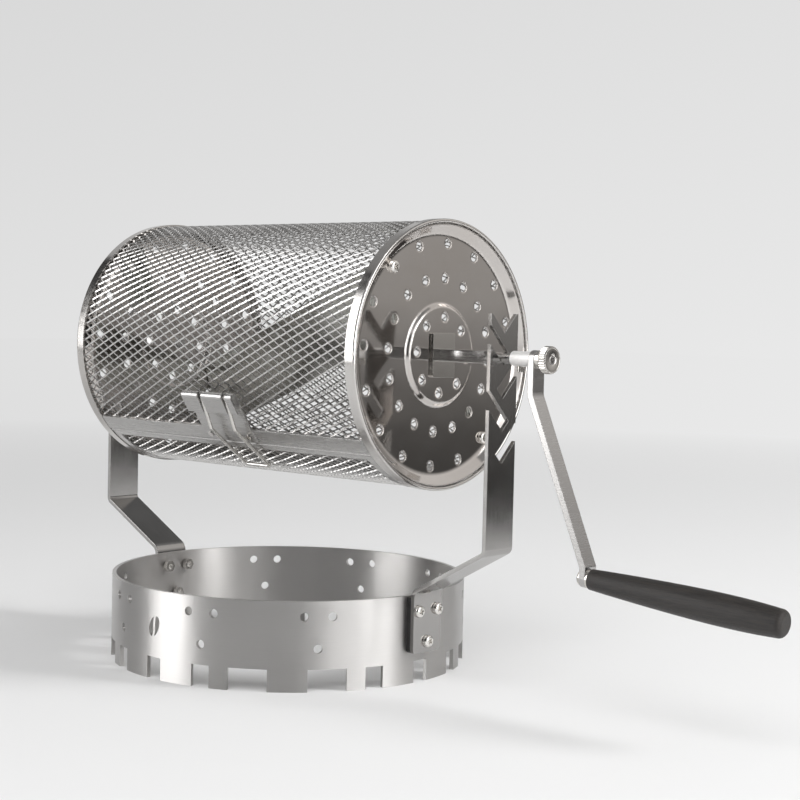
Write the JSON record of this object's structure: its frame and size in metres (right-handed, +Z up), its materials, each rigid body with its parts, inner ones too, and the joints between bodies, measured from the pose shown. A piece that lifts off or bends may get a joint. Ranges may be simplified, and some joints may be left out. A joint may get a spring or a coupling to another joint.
{
  "type": "coffee bean roaster",
  "caption": "Hand-cranked stovetop roaster: a mesh drum with a latched door and a slanted mixing vane turns in notched straps that stand on a steel ring.",
  "frame": {"origin": "middle of the overall length, on the surface that the ring stands on, below the drum axis", "axes": "+X along the drum axis towards the crank, -Y the side of the latch, +Z up"},
  "size_m": [0.4256, 0.18, 0.2216],
  "materials": {
    "ring_steel": "brushed round the hoop",
    "strap_steel": "satin",
    "mesh_steel": "bright woven look",
    "polished_steel": "polished",
    "shaft_steel": "drawn bar",
    "hardware": "bright plated",
    "dark_wood": "dark stained, lacquered"
  },
  "bodies": {
    "frame": {"base_ring": "ring_steel", "left_bracket": "strap_steel", "right_bracket": "strap_steel", "left_spacer": "strap_steel", "right_spacer": "strap_steel", "left_bracket_screws": "hardware", "right_bracket_screws": "hardware", "left_bracket_nuts": "hardware", "right_bracket_nuts": "hardware"},
    "drum": {"drum_mesh": "mesh_steel", "seam_strip": "strap_steel", "hinge_strip": "strap_steel", "hinge_pins": "hardware", "left_rim": "polished_steel", "right_rim": "polished_steel", "left_end_disc": "polished_steel", "right_end_disc": "polished_steel", "left_hub_plate": "strap_steel", "right_hub_plate": "strap_steel", "left_hub_nut": "hardware", "right_hub_nut": "hardware", "left_shaft": "shaft_steel", "right_shaft": "shaft_steel", "vane_front": "strap_steel", "vane_back": "strap_steel", "vane_screws": "hardware", "vane_nuts": "hardware", "latch_bracket": "strap_steel", "latch_rivets": "hardware", "shaft_collar": "hardware", "collar_set_screw": "hardware", "crank_arm": "strap_steel", "thumb_nut": "hardware", "handle_spindle": "hardware", "handle_washer": "hardware"},
    "door": {"door_frame": "strap_steel", "door_mesh": "mesh_steel"},
    "bail": {"latch_bail": "hardware"},
    "grip": {"handle_grip": "dark_wood"}
  },
  "joints": [
    {"name": "drum_spin", "type": "hinge", "parent": "frame", "child": "drum", "pos_m": [-0.06781, 0, 0.1574], "axis": [1, 0, 0], "continuous": true},
    {"name": "handle_spin", "type": "hinge", "parent": "drum", "child": "grip", "pos_m": [0.11621, 0, 0.0618], "axis": [0.9977, 0, -0.068], "continuous": true},
    {"name": "door_swing", "type": "hinge", "parent": "drum", "child": "door", "pos_m": [-0.06781, 0.02276, 0.09486], "axis": [1, 0, 0], "range_deg": [0, 55]},
    {"name": "bail_swing", "type": "hinge", "parent": "drum", "child": "bail", "pos_m": [-0.06031, -0.06428, 0.13474], "axis": [1, 0, 0], "range_deg": [-134, 0]}
  ],
  "couplings": [
    {"joint": "bail_swing", "follows": "door_swing", "ratio": -2.4}
  ]
}
